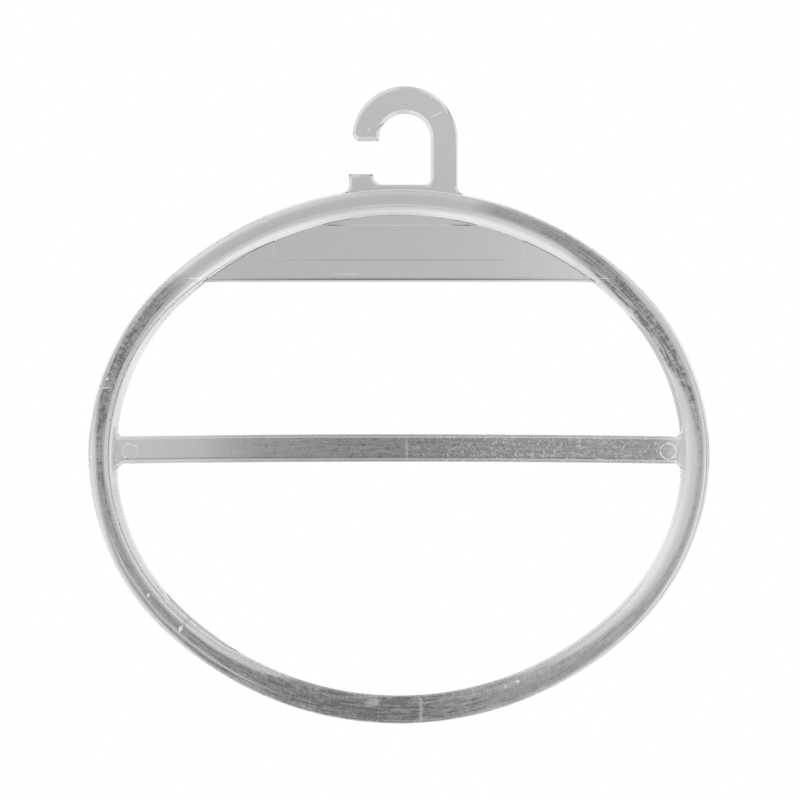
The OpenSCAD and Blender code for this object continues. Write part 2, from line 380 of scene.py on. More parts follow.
def labelOutline(s):
    # a long rectangle, anticlockwise
    middle = ovalShape["middle"][0]
    x0, x1 = middle - s["labelWidth"] / 2, middle + s["labelWidth"] / 2
    z0, z1 = s["labelLow"], s["labelLow"] + s["labelHeight"]
    return np.array([(x0, z0), (x1, z0), (x1, z1), (x0, z1)])


def makeHeader(s):
    # the plate, its lip, whose edge is crisper below than above, and the cutter for the label field
    half, lipLine = s["halfThickness"], lipOutline(s)
    plate = edgedPlate("headerForm", headerOutline(s), [(0, half), (0, -half)])
    share = np.where(lipLine[:, 1] < s["lowZ"] + s["crispBelow"], s["lipCrisp"], 1.0)
    strip = edgedPlate("lipForm", lipLine, roundedEdge(s["lipHalf"], s["lipEdge"]), share=share)
    cutter = recessCutter("labelPanel", labelOutline(s), -half, s["labelDepth"], s["labelDraft"])
    return plate, strip, cutter


header, lip, labelCut = makeHeader(headerSettings)
print("header made")


hookSettings = {
    "eyeR": 7.9, "band": 8.2, "halfThickness": 1.6, "edge": 0.85, "soften": 0.12,
    "tipDrop": 0.5, "tipBevel": 1.5,
    "tipFrom": 168, "tipGap": 5.0,     # degrees: where the eye's round starts, and what the bevel takes outside
    "padX": -17.1, "padWidth": 7.3, "padZ": -10.8, "padHeight": 3.2,
    "stemFillet": 2.0, "rootFillet": 2.5,
    "footZ": -20.5,                    # hidden in the ring
    "eased": [(-16.07, 1.0, 0.5), (-14.6, -0.5, 0.7), (-7.9, -0.5, 0.5)],   # x, z, cut
}


def crownZ(x, f):
    # height of the middle of a fillet of radius f that rests on the ring's outer edge at x
    o = ovalShape
    px = x - o["middle"][0]
    return math.sqrt((o["flatR"] + rimSettings["halfWidth"] + f) ** 2 - px ** 2) - o["flatZ"] + o["middle"][1]


def hookOutline(s):
    # anticlockwise from the foot of the pad, under the crown, up the stem's right side and round the eye
    outer = s["eyeR"] + s["band"]
    f, padX = s["rootFillet"], s["padX"]
    left = (padX - f, crownZ(padX - f, f))
    right = (outer + f, crownZ(outer + f, f))
    centreZ = ovalShape["middle"][1] - ovalShape["flatZ"]
    leanL = math.degrees(math.atan2(left[1] - centreZ, left[0] - ovalShape["middle"][0]))
    leanR = math.degrees(math.atan2(right[1] - centreZ, right[0] - ovalShape["middle"][0]))
    stripZ = s["padZ"] - s["padHeight"]
    rise = s["tipBevel"] - s["tipDrop"]
    tipEnd = 180 - math.degrees(math.asin(rise / outer))
    bevelTop = (-math.sqrt(outer ** 2 - rise ** 2), rise)
    bevelLow = (-outer + s["tipBevel"], -s["tipDrop"])
    inner = (-s["eyeR"], -s["tipDrop"])
    parts = [
        [[left[0], s["footZ"]], [right[0], s["footZ"]]],
        arcPoints(right, f, leanR + 180, 180, 6),
        arcPoints((0, 0), outer, 0, tipEnd - s["tipGap"], 2.5),
        [bevelTop, bevelLow, inner],
        arcPoints((0, 0), s["eyeR"], s["tipFrom"], 0, 4),
        arcPoints((s["eyeR"] - s["stemFillet"], stripZ + s["stemFillet"]), s["stemFillet"], 0, -90, 8),
        arcPoints((padX + s["padWidth"] + s["padHeight"], s["padZ"]), s["padHeight"], 270, 198, 6),
        [[padX + s["padWidth"], s["padZ"]], [padX, s["padZ"]]],
        arcPoints(left, f, 0, leanL - 180, 6),
    ]
    return np.concatenate([np.asarray(p, float) for p in parts])


def chamferedEdge(half, edge, soften):
    # a 45 degree chamfer whose two corners are eased: each is two points, a little off its two sides
    k = soften
    back = [(edge + k, half), (edge - k * 0.3, half - k * 0.35),
            (k * 0.35, half - edge + k * 0.3), (0, half - edge - k)]
    return back + [(i, -d) for i, d in reversed(back)]


def makeHook(s):
    edge = chamferedEdge(s["halfThickness"], s["edge"], s["soften"])
    return edgedPlate("hookForm", hookOutline(s), edge, s["eased"])


hook = makeHook(hookSettings)
print("hook made")


def combined(base, others, operation):
    # a boolean for each of the others, its material carried along, applied to the base's mesh
    for other in others:
        cut = base.modifiers.new(other.name, "BOOLEAN")
        cut.operation, cut.solver, cut.object = operation, "MANIFOLD", other
        cut.material_mode = "TRANSFER"
        bpy.context.view_layer.update()
        whole = bpy.data.meshes.new_from_object(base.evaluated_get(bpy.context.evaluated_depsgraph_get()))
        base.modifiers.clear()
        base.data = whole
    for other in others:
        bpy.data.objects.remove(other)
    return base


plasticSettings = {
    "clearTint": "#b3b3b3",        # what the moulding lets through against white
    "scuffAndShadeTint": "#303030",        # the same behind a scuffed skin, its darkness partly painted shade; also the tint of the painted shade line
    "shadeTint": "#484848",        # where a step throws the light aside
    "nickAndHighlightTint": "#f2f2f2",         # stress whitened plastic in a nick or along a weld, and the painted highlights along the lip
    "highlightTint": "#e2e2e2",         # painted highlight along the edge of the land, where it turns the light
    "ior": 1.59,
    "clearRoughness": (0.0, 0.05), "scuffRoughness": (0.03, 0.34),
    "wave": (0.15, 0.0004), "relief": (0.4, 0.00008),     # bump strength, and its height in metres
    # Sizes of the scuffing, mm along and mm across. The real hair scratches are finer, and are drawn as coarse
    # as the picture needs to show them
    "blotch": (2.0, 1.5), "streak": (9.0, 0.7), "hatch": (0.75, 3.0),
    "crackle": 1.35,               # mm across a cell of the wrinkled net
    "curl": (2.4, 2.0), "curlReach": 3.4,     # mm: the waves that bend the net, and how far
    "wallWidth": 0.085,            # width of its walls as a share of a cell
    "wallBroken": (0.45, 0.56),    # levels of the blotches at which a wall is gone and at which it is whole
    "wallPale": (0.12, 1.75),      # how much paler a wall is, on the ring and on the bar
    "backAndFront": (0.6, 1.3),    # how worn the back is and the front
    "contrast": (1.20, 1.80),      # sums of grain and blotches at which the scuffing starts and is full
    "darkness": (0.16, 1.12),      # how dark it is there
    "patchy": (1.0, 0.45),         # how much the blotches count, off the wrinkles and among them
    "lineEdge": (0.08, 0.38),      # a line is full up to the first distance and gone at the second, mm
    # along the cross bar, -1 its left end and 1 its right one: how worn, with the painted shade that goes with
    # the wear, and how wrinkled
    "barWearAndShade": [(-1.0, 0.0), (-0.72, 0.05), (-0.5, 0.72), (-0.2, 0.98), (0.1, 0.98),
                (0.4, 0.92), (0.9, 0.86), (0.95, 0.6), (0.985, 0.0), (1.0, 0.0)],
    "barCrackle": [(-1.0, 0.0), (-0.05, 0.05), (0.12, 0.2), (0.35, 1.0), (1.0, 1.0)],
}

# Small marks, white, in the clear skin and in the scuffed one: nicks, creases, welds and a scratch, and painted
# highlights along the lip. x, z, degrees from +X, half length, half width (mm) and how white
clearMarks = [
    (9.7, 7.3, 28, 2.3, 0.16, 0.55),         # crease across the hook's band
    (-11.0, 2.5, 62, 0.95, 0.30, 0.35),      # nick near the tip
    (-1.8, -43.6, 0, 66.0, 0.30, 0.45),      # light along the lip's lower edge
    (-1.8, -42.3, 0, 64.0, 0.15, 0.20),      # and along its upper one
    (-17.4, -41.4, 0, 5.4, 0.17, 0.30),      # scratch above the lip
]
scuffedMarks = [
    (-91.3, -76.1, 8, 1.9, 0.20, 0.55),      # crease across the left limb
    (-90.5, -73.4, 0, 0.42, 0.36, 0.55),     # six nicks round the ring
    (-95.7, -97.2, 0, 0.34, 0.34, 0.50),
    (-78.0, -139.2, 60, 0.62, 0.48, 0.60),
    (-68.2, -149.3, 65, 1.15, 0.66, 0.60),
    (34.3, -165.5, 20, 0.70, 0.45, 0.45),
    (30.6, -167.0, 80, 0.60, 0.35, 0.40),
    (4.9, -174.8, 90, 4.6, 0.60, 0.22),      # weld in the lower limb
    (-10.0, -171.9, 15, 2.4, 1.3, 0.22),     # pale patch beside it
    (0.6, -94.4, 90, 4.4, 0.45, 0.18),       # weld in the cross bar
    (-63.8, -42.8, 0, 2.9, 0.17, 0.55),      # the lip's painted highlight runs on over the ring, left and right
    (60.4, -42.8, 0, 1.7, 0.15, 0.45),
]

# Where a step throws the light aside, laid out like the marks
shadeTable = [
    (-1.8, -42.9, 0, 63.0, 0.22, 0.85),      # along the lip
    (-1.8, -36.9, 0, 41.0, 0.15, 0.55),      # along the label field's lower edge
]

# The whitened edges of the two ejector marks: x, z, radius, half width (mm) and how white
ringTable = [(-83.8, -95.4, 2.45, 0.22, 0.07), (80.2, -95.4, 2.42, 0.28, 0.70)]


def strongest(tree, fields):
    # the greatest of several fields at each point
    total = fields[0]
    for field in fields[1:]:
        total = addNode(tree, "ShaderNodeMath", {0: total, 1: field}, operation="MAXIMUM")
    return total


def ringField(tree, inMm, rings):
    # white where the distance from a ring's centre is near its radius, more so at its lower left, and broken
    # by noise
    shake = addNode(tree, "ShaderNodeTexNoise", {"Vector": inMm, "Scale": 0.9, "Detail": 2.0})
    gap = addNode(tree, "ShaderNodeMapRange",
                  {"Value": shake, "From Min": 0.38, "From Max": 0.55, "To Min": 0.35})
    fields = []
    for x, z, radius, wide, white in rings:
        near = addNode(tree, "ShaderNodeVectorMath", {0: inMm, 1: (x, 0, z)}, operation="SUBTRACT")
        flat = addNode(tree, "ShaderNodeVectorMath", {0: near, 1: (1.0, 0.0, 1.0)}, operation="MULTIPLY")
        far = addNode(tree, "ShaderNodeVectorMath", {0: flat}, operation="LENGTH").outputs["Value"]
        off = addNode(tree, "ShaderNodeMath", {0: far, 1: radius}, operation="SUBTRACT")
        away = addNode(tree, "ShaderNodeMath", {0: off}, operation="ABSOLUTE")
        thin = addNode(tree, "ShaderNodeMapRange",
                       {"Value": away, "From Min": wide * 0.3, "From Max": wide * 1.4, "To Min": white,
                        "To Max": 0.0}, interpolation_type="SMOOTHSTEP")
        corner = (-0.7 / radius, 0.0, -0.7 / radius)
        lean = addNode(tree, "ShaderNodeVectorMath", {0: flat, 1: corner},
                       operation="DOT_PRODUCT").outputs["Value"]
        part = addNode(tree, "ShaderNodeMapRange",
                       {"Value": lean, "From Min": -1.0, "From Max": 0.8, "To Min": 0.45})
        fields.append(addNode(tree, "ShaderNodeMath", {0: thin, 1: part}, operation="MULTIPLY"))
    return addNode(tree, "ShaderNodeMath", {0: strongest(tree, fields), 1: gap}, operation="MULTIPLY")


def markField(tree, inMm, marks, stray=0.5):
    # how strong the marks are: each is an ellipse with a soft edge, its outline strayed by noise, in mm. The
    # noise is a half on average, so the ellipse's centre moves along by half the stray.
    shake = addNode(tree, "ShaderNodeTexNoise", {"Vector": inMm, "Scale": 2.2, "Detail": 3.0}).outputs["Color"]
    moved = addNode(tree, "ShaderNodeVectorMath", {0: shake, 1: (stray, 0.0, stray)}, operation="MULTIPLY")
    place = addNode(tree, "ShaderNodeVectorMath", {0: inMm, 1: moved}, operation="ADD")
    fields = []
    for x, z, turn, long, wide, white in marks:
        centre = (x + stray / 2, 0, z + stray / 2)
        turned = addNode(tree, "ShaderNodeVectorRotate",
                         {"Vector": place, "Center": centre, "Angle": math.radians(turn)},
                         rotation_type="Y_AXIS")
        near = addNode(tree, "ShaderNodeVectorMath", {0: turned, 1: centre}, operation="SUBTRACT")
        ratio = addNode(tree, "ShaderNodeVectorMath", {0: near, 1: (1 / long, 0.0, 1 / wide)},
                        operation="MULTIPLY")
        far = addNode(tree, "ShaderNodeVectorMath", {0: ratio}, operation="LENGTH").outputs["Value"]
        fields.append(addNode(tree, "ShaderNodeMapRange",
                              {"Value": far, "From Min": 0.55, "From Max": 1.25, "To Min": white,
                               "To Max": 0.0}, interpolation_type="SMOOTHSTEP"))
    return strongest(tree, fields)


def stretchedNoise(tree, vector, size, detail=4.0, rough=0.6):
    # noise whose features are size[0] mm long and size[1] mm wide
    scaled = addNode(tree, "ShaderNodeVectorMath", {0: vector, 1: (1 / size[0], 1 / size[1], 1.0)},
                     operation="MULTIPLY")
    return addNode(tree, "ShaderNodeTexNoise",
                   {"Vector": scaled, "Scale": 1.0, "Detail": detail, "Roughness": rough})


def millimetres(tree):
    # the point on the piece in mm, as its settings are
    place = addNode(tree, "ShaderNodeTexCoord").outputs["Object"]
    return addNode(tree, "ShaderNodeVectorMath", {0: place, 1: (1 / mm, 1 / mm, 1 / mm)}, operation="MULTIPLY")


def clearPolystyrene():
    # general purpose polystyrene, injection moulded in a polished tool: water clear and glossy, with a faint
    # waviness where the melt has flowed, so that straight lines seen through it wander a little
    material = bpy.data.materials.new("clearPolystyrene")
    tree = emptyTree(material)
    p = plasticSettings
    inMm = millimetres(tree)
    flow = addNode(tree, "ShaderNodeTexNoise",
                   {"Vector": inMm, "Scale": 0.11, "Detail": 3.0, "Roughness": 0.45})
    haze = addNode(tree, "ShaderNodeTexNoise", {"Vector": inMm, "Scale": 0.5, "Detail": 5.0, "Roughness": 0.6})
    wave = addNode(tree, "ShaderNodeBump", {"Height": flow, "Strength": p["wave"][0], "Distance": p["wave"][1]})
    rough = addNode(tree, "ShaderNodeMapRange",
                    {"Value": haze, "From Min": 0.35, "From Max": 0.75, "To Min": p["clearRoughness"][0],
                     "To Max": p["clearRoughness"][1]})
    # white: a crease, a nick and a scratch, and painted highlights along the lip's edges
    white = markField(tree, inMm, clearMarks, 0.2)
    tint = addNode(tree, "ShaderNodeMix",
                   {"Factor": white, "A": linearFromHex(p["clearTint"]), "B": linearFromHex(p["nickAndHighlightTint"])},
                   data_type="RGBA").outputs["Result"]
    shade = markField(tree, inMm, shadeTable, 0.1)
    shaded = addNode(tree, "ShaderNodeMix", {"Factor": shade, "A": tint, "B": linearFromHex(p["shadeTint"])},
                     data_type="RGBA").outputs["Result"]
    through = addNode(tree, "ShaderNodeMath", {0: 1.0, 1: white}, operation="SUBTRACT")
    shader = addNode(tree, "ShaderNodeBsdfPrincipled",
                     {"Base Color": shaded, "IOR": p["ior"], "Transmission Weight": through, "Roughness": rough,
                      "Normal": wave})
    addNode(tree, "ShaderNodeOutputMaterial", {"Surface": shader})
    return material


# Painted lines along the ring, round it from the crown: a painted highlight where the land ends, a painted
# highlight near the outer edge, and a painted shade line beside them. On the cross bar the first and the last
# run along its lower edge and the second along its upper one. Places are mm across the ring, or heights on the
# bar; a gain of 1 is a full line.
paintedLineTables = {
    "landHighlight": {
        "tint": "highlightTint", "barPlace": -98.45, "barGain": 0.4,
        "along": [0.00, 0.10, 0.20, 0.25, 0.57, 0.60, 0.69, 0.715, 0.73, 0.74, 0.80, 0.87, 1.00],
        "place": [-1.15, -1.2, -1.3, -1.3, 1.4, 1.4, 1.3, 1.3, -1.25, -1.25, -1.25, -1.2, -1.15],
        "gain":  [0.30, 0.25, 0.15, 0.00, 0.00, 0.85, 0.85, 0.00, 0.00, 0.80, 0.55, 0.30, 0.30]},
    "outerHighlight": {
        "tint": "highlightTint", "barPlace": -91.65, "barGain": 0.5,
        "along": [0.00, 0.05, 0.07, 0.24, 0.26, 0.34, 0.37, 0.62, 0.66, 0.80, 0.90, 0.94, 1.00],
        "place": [3.75, 3.75, 2.6, 2.5, 2.5, 2.6, 2.9, 2.9, 2.9, 2.6, 2.7, 3.75, 3.75],
        "gain":  [0.80, 0.70, 0.00, 0.00, 0.45, 0.45, 0.00, 0.00, 0.25, 0.25, 0.15, 0.50, 0.80]},
    "shadeLine": {
        "tint": "scuffAndShadeTint", "barPlace": -97.9, "barGain": 0.35,
        "along": [0.00, 0.07, 0.09, 0.20, 0.23, 0.25, 0.33, 0.36, 0.59,
                  0.61, 0.69, 0.71, 0.73, 0.75, 0.82, 0.85, 1.00],
        "place": [2.6, 2.6, 2.6, 2.7, 3.0, 3.0, 3.0, 2.6, 2.4, 2.4, 2.3, 2.3, -2.1, -2.1, -2.2, -2.2, 2.6],
        "gain":  [0.00, 0.00, 0.45, 0.50, 0.30, 0.30, 0.30, 0.00, 0.00,
                  0.40, 0.40, 0.00, 0.00, 0.35, 0.30, 0.00, 0.00]},
}


def scuffedAndShadedPolystyrene():
    # the same plastic where it stands proudest and has rubbed against its neighbours in the box: hazy, hatched
    # across the ring and streaked along it and along the cross bar, and darker against white, a darkness that
    # is partly painted shade of the ring's round section, wrinkled like crackle on the bar's right half, and
    # with a few deep nicks that catch the light. It also carries painted highlights and a painted shade line
    # along the land's edges, and the lip's painted highlight where it runs over the ring
    material = bpy.data.materials.new("scuffedAndShadedPolystyrene")
    tree = emptyTree(material)
    p, b = plasticSettings, barSettings
    inMm = millimetres(tree)
    way = addNode(tree, "ShaderNodeUVMap", uv_map="lengthAndWidth")      # x along the bar, y across it, in mm
    place = addNode(tree, "ShaderNodeSeparateXYZ", {0: way})
    skin, isBar, grainy, weave = [addNode(tree, "ShaderNodeAttribute", attribute_name=name).outputs["Fac"]
                                  for name in ("wearAndShade", "onBar", "grainy", "weave")]
    # how worn, and so how much painted shade goes with the scuffing: less on the back, and changing along the
    # bar
    depthward = addNode(tree, "ShaderNodeSeparateXYZ", {0: inMm}).outputs["Y"]
    front = addNode(tree, "ShaderNodeMapRange", {"Value": depthward, "From Min": 0.3, "From Max": -0.3})
    share = addNode(tree, "ShaderNodeMath",
                    {0: place.outputs["X"], 1: 1 / b["halfLength"],
                     2: -ovalShape["middle"][0] / b["halfLength"]}, operation="MULTIPLY_ADD")
    barLevel = addNode(tree, "ShaderNodeMix",
                       {"Factor": isBar, "A": 1.0, "B": levelRamp(tree, share, p["barWearAndShade"])},
                       data_type="FLOAT")
    rubbedAndShaded = addNode(tree, "ShaderNodeMath", {0: skin, 1: barLevel}, operation="MULTIPLY")
    lean = addNode(tree, "ShaderNodeMapRange",
                   {"Value": front, "To Min": p["backAndFront"][0], "To Max": p["backAndFront"][1]})
    wornAndShaded = addNode(tree, "ShaderNodeMath", {0: rubbedAndShaded, 1: lean}, operation="MULTIPLY")
    wrinkled = addNode(tree, "ShaderNodeMath", {0: isBar, 1: levelRamp(tree, share, p["barCrackle"])},
                       operation="MULTIPLY")
    # grain: hatched across or streaked along the ring, streaked along the bar, with blotches in both
    blotch = stretchedNoise(tree, way, p["blotch"])
    streak = stretchedNoise(tree, way, p["streak"])
    hatch = stretchedNoise(tree, way, p["hatch"], 3.0)
    woven = addNode(tree, "ShaderNodeMix", {"Factor": weave, "A": hatch, "B": streak}, data_type="FLOAT")
    onRing = addNode(tree, "ShaderNodeMath", {0: woven, 1: 2.0}, operation="MULTIPLY")
    lengthwise = addNode(tree, "ShaderNodeMath", {0: streak, 1: 0.9, 2: 0.55}, operation="MULTIPLY_ADD")
    grain = addNode(tree, "ShaderNodeMix", {"Factor": isBar, "A": onRing, "B": lengthwise}, data_type="FLOAT")
    spread = addNode(tree, "ShaderNodeMapRange",
                     {"Value": wrinkled, "To Min": p["patchy"][0], "To Max": p["patchy"][1]})
    patch = addNode(tree, "ShaderNodeMath", {0: blotch, 1: 0.5}, operation="SUBTRACT")
    even = addNode(tree, "ShaderNodeMath", {0: patch, 1: spread, 2: 0.5}, operation="MULTIPLY_ADD")
    both = addNode(tree, "ShaderNodeMath", {0: grain, 1: even}, operation="ADD")
    full = addNode(tree, "ShaderNodeMapRange",
                   {"Value": both, "From Min": p["contrast"][0], "From Max": p["contrast"][1]})
    shown = addNode(tree, "ShaderNodeMath", {0: front, 1: grainy}, operation="MULTIPLY")
    pattern = addNode(tree, "ShaderNodeMix", {"Factor": shown, "A": 0.5, "B": full}, data_type="FLOAT")
    # wrinkles: the walls between cells of a warped cell pattern, broken where the blotches are pale
    curl = stretchedNoise(tree, way, p["curl"], 2.5, 0.5).outputs["Color"]
    bent = addNode(tree, "ShaderNodeVectorMath", {0: curl, 1: (p["curlReach"], p["curlReach"], 0.0), 2: way},
                   operation="MULTIPLY_ADD")
    cells = addNode(tree, "ShaderNodeTexVoronoi", {"Vector": bent, "Scale": 1 / p["crackle"]},
                    feature="DISTANCE_TO_EDGE").outputs["Distance"]
    wall = addNode(tree, "ShaderNodeMapRange",
                   {"Value": cells, "From Max": p["wallWidth"], "To Min": 1.0, "To Max": 0.0},
                   interpolation_type="SMOOTHSTEP")
    broken = addNode(tree, "ShaderNodeMapRange",
                     {"Value": blotch, "From Min": p["wallBroken"][0], "From Max": p["wallBroken"][1]})
    ridge = addNode(tree, "ShaderNodeMath", {0: wall, 1: broken}, operation="MULTIPLY")
    pale = addNode(tree, "ShaderNodeMapRange",
                   {"Value": wrinkled, "To Min": p["wallPale"][0], "To Max": p["wallPale"][1]})
    near = addNode(tree, "ShaderNodeMath", {0: pale, 1: front}, operation="MULTIPLY")
    paler = addNode(tree, "ShaderNodeMath", {0: ridge, 1: near}, operation="MULTIPLY")
    dark = addNode(tree, "ShaderNodeMapRange",
                   {"Value": pattern, "To Min": p["darkness"][0], "To Max": p["darkness"][1]})
    net = addNode(tree, "ShaderNodeMath", {0: dark, 1: paler}, operation="SUBTRACT", use_clamp=True)
    # the scuffs' darkening, partly painted shade of the round section
    mask = addNode(tree, "ShaderNodeMath", {0: net, 1: wornAndShaded}, operation="MULTIPLY", use_clamp=True)
    lined = addNode(tree, "ShaderNodeMix",
                    {"Factor": mask, "A": linearFromHex(p["clearTint"]), "B": linearFromHex(p["scuffAndShadeTint"])},
                    data_type="RGBA").outputs["Result"]
    # painted highlights and the painted shade line along the land's edges: their places across the bar and
    # their strengths come with the mesh
    squared = addNode(tree, "ShaderNodeMath", {0: share, 1: share}, operation="MULTIPLY")
    bowed = addNode(tree, "ShaderNodeMath", {0: squared, 1: -b["bow"], 2: b["bow"]}, operation="MULTIPLY_ADD")
    rise = addNode(tree, "ShaderNodeMath", {0: bowed, 1: isBar}, operation="MULTIPLY")
    across = addNode(tree, "ShaderNodeMath", {0: place.outputs["Y"], 1: rise}, operation="SUBTRACT")
    for line, table in paintedLineTables.items():
        lineAt, lineGain = [addNode(tree, "ShaderNodeAttribute", attribute_name=line + kind).outputs["Fac"]
                            for kind in ("Place", "Gain")]
        off = addNode(tree, "ShaderNodeMath", {0: across, 1: lineAt}, operation="SUBTRACT")
        away = addNode(tree, "ShaderNodeMath", {0: off}, operation="ABSOLUTE")
        thin = addNode(tree, "ShaderNodeMapRange",
                       {"Value": away, "From Min": p["lineEdge"][0], "From Max": p["lineEdge"][1],
                        "To Min": 1.0, "To Max": 0.0}, interpolation_type="SMOOTHSTEP")
        lit = addNode(tree, "ShaderNodeMath", {0: thin, 1: lineGain}, operation="MULTIPLY", use_clamp=True)
        lined = addNode(tree, "ShaderNodeMix",
                        {"Factor": lit, "A": lined, "B": linearFromHex(p[table["tint"]])},
                        data_type="RGBA").outputs["Result"]
    # white: nicks, creases and welds, the lip's painted highlight where it runs over the ring, and the ejector
    # marks' edges
    white = strongest(tree, [markField(tree, inMm, scuffedMarks), ringField(tree, inMm, ringTable)])
    whole = addNode(tree, "ShaderNodeMix", {"Factor": white, "A": lined, "B": linearFromHex(p["nickAndHighlightTint"])},
                    data_type="RGBA").outputs["Result"]
    through = addNode(tree, "ShaderNodeMath", {0: 1.0, 1: white}, operation="SUBTRACT")
    rough = addNode(tree, "ShaderNodeMapRange",
                    {"Value": mask, "To Min": p["scuffRoughness"][0], "To Max": p["scuffRoughness"][1]})
    uneven = addNode(tree, "ShaderNodeMath", {0: pattern, 1: ridge}, operation="ADD")
    height = addNode(tree, "ShaderNodeMath", {0: uneven, 1: wornAndShaded}, operation="MULTIPLY")
    bump = addNode(tree, "ShaderNodeBump",
                   {"Height": height, "Strength": p["relief"][0], "Distance": p["relief"][1]})
    shader = addNode(tree, "ShaderNodeBsdfPrincipled",
                     {"Base Color": whole, "IOR": p["ior"], "Transmission Weight": through, "Roughness": rough,
                      "Normal": bump})
    addNode(tree, "ShaderNodeOutputMaterial", {"Surface": shader})
    return material


clear = clearPolystyrene()
scuffedAndShaded = scuffedAndShadedPolystyrene()
for form in (header, lip, hook, labelCut):
    form.data.materials.append(clear)
for form in (rim, bar, *pins):
    form.data.materials.append(scuffedAndShaded)

header = combined(header, [labelCut], "DIFFERENCE")
bar = combined(bar, pins, "DIFFERENCE")
hanger = combined(rim, [bar, header, lip, hook], "UNION")
hanger.name = hanger.data.name = "scarfHanger"
print("one moulding:", len(hanger.data.polygons), "faces")


# How worn the skin is at places round the ring (0 at the crown, clockwise from the front), and on which part of
# the ring's width: centre and half width in mm across, outward positive. The darkening that goes with this wear
# is partly painted shade of the ring's round section, such as its dark core
wearAndShadeSettings = {
    "along": [0.00, 0.04, 0.055, 0.10, 0.125, 0.15, 0.19, 0.215, 0.25, 0.30, 0.35, 0.40, 0.44,
              0.50, 0.56, 0.585, 0.61, 0.65, 0.70, 0.75, 0.785, 0.83, 0.855, 0.870, 1.00],
    "amount": [0.05, 0.05, 0.70, 0.85, 0.92, 1.02, 1.05, 0.80, 0.60, 0.60, 0.62, 0.70, 0.80,
               1.16, 1.10, 1.00, 0.92, 0.82, 0.75, 0.85, 0.95, 0.95, 0.80, 0.05, 0.05],
    "centre": [1.5, 1.5, 1.6, 1.5, 0.3, -1.2, -1.1, 0.4, 0.9, 0.9, 0.8, 0.4, 0.0,
               0.0, 0.0, 0.8, 0.9, 0.6, 0.4, 0.2, 1.0, 0.9, 0.9, 0.9, 1.5],
    "half": [1.6, 1.6, 1.7, 2.0, 2.8, 2.5, 2.3, 1.1, 0.7, 0.7, 1.6, 3.0, 4.2,
             4.2, 4.2, 3.2, 2.6, 1.9, 1.6, 1.0, 2.1, 2.4, 2.6, 2.0, 1.6],
    "fade": 0.9,                             # mm over which the wear dies out at its sides
    "shoulder": -3.7,                        # the inner shoulder lies inward of this, mm across,
    "sparedAlong": [0.38, 0.43, 0.57, 0.62],
    "spared": [1, 0, 0, 1],                  # and is worn, and painted darker, at the bottom only
    # the scuffing's direction, 0 across and 1 lengthwise, and how plain it is
    "grainAlong": [0.00, 0.12, 0.15, 0.22, 0.27, 0.34, 0.40, 0.58, 0.62, 0.71, 0.75, 0.82, 0.87, 1.00],
    "weave":      [0.85, 0.85, 0.60, 0.50, 0.60, 0.65, 0.70, 0.70, 0.90, 0.85, 0.60, 0.60, 0.80, 0.85],
    "grainy":     [0.40, 0.50, 0.90, 1.00, 0.70, 0.62, 0.52, 0.52, 0.50, 0.60, 0.90, 0.90, 0.60, 0.40],
    "barGrainy": 0.5,
    "barAcross": -3.6, "barReach": 6,        # the cross bar's points: inward of this, and this near its middle
    "barEdge": 0.5, "barEdgeWear": 0.5,      # width of its rounded edges, mm, and the least wear there
    "sharpAngle": 32, "flatWeight": 80,      # where shading breaks, and how much large faces count
}


def addLayer(mesh, name, values):
    # one value for each point, for the material to read
    mesh.attributes.new(name, "FLOAT", "POINT").data.foreach_set("value", values.astype(np.float32))


def mapLengthAndWidth(mesh, co, along, across, isBar):
    # u is the length along the ring or the cross bar, whichever a face belongs to, and v the width across it,
    # in mm. On the ring u is the share of the way round times its length; a face at the crown, where the share
    # jumps, keeps to the side of its first corner.
    corner = np.empty(len(mesh.loops), int)
    mesh.loops.foreach_get("vertex_index", corner)
    start, total = np.empty(len(mesh.polygons), int), np.empty(len(mesh.polygons), int)
    mesh.polygons.foreach_get("loop_start", start)
    mesh.polygons.foreach_get("loop_total", total)
    face = np.repeat(np.arange(len(start)), total)
    _, _, length = ovalAt([0.0])
    u, barCorner = along[corner], isBar[corner]
    first = u[start][face]
    u = np.where(u - first > 0.5, u - 1, np.where(u - first < -0.5, u + 1, u))
    uv = np.stack([np.where(barCorner, co[corner, 0], u * length),
                   np.where(barCorner, co[corner, 2], across[corner])], 1)
    mesh.uv_layers.new(name="lengthAndWidth").data.foreach_set("uv", uv.astype(np.float32).ravel())


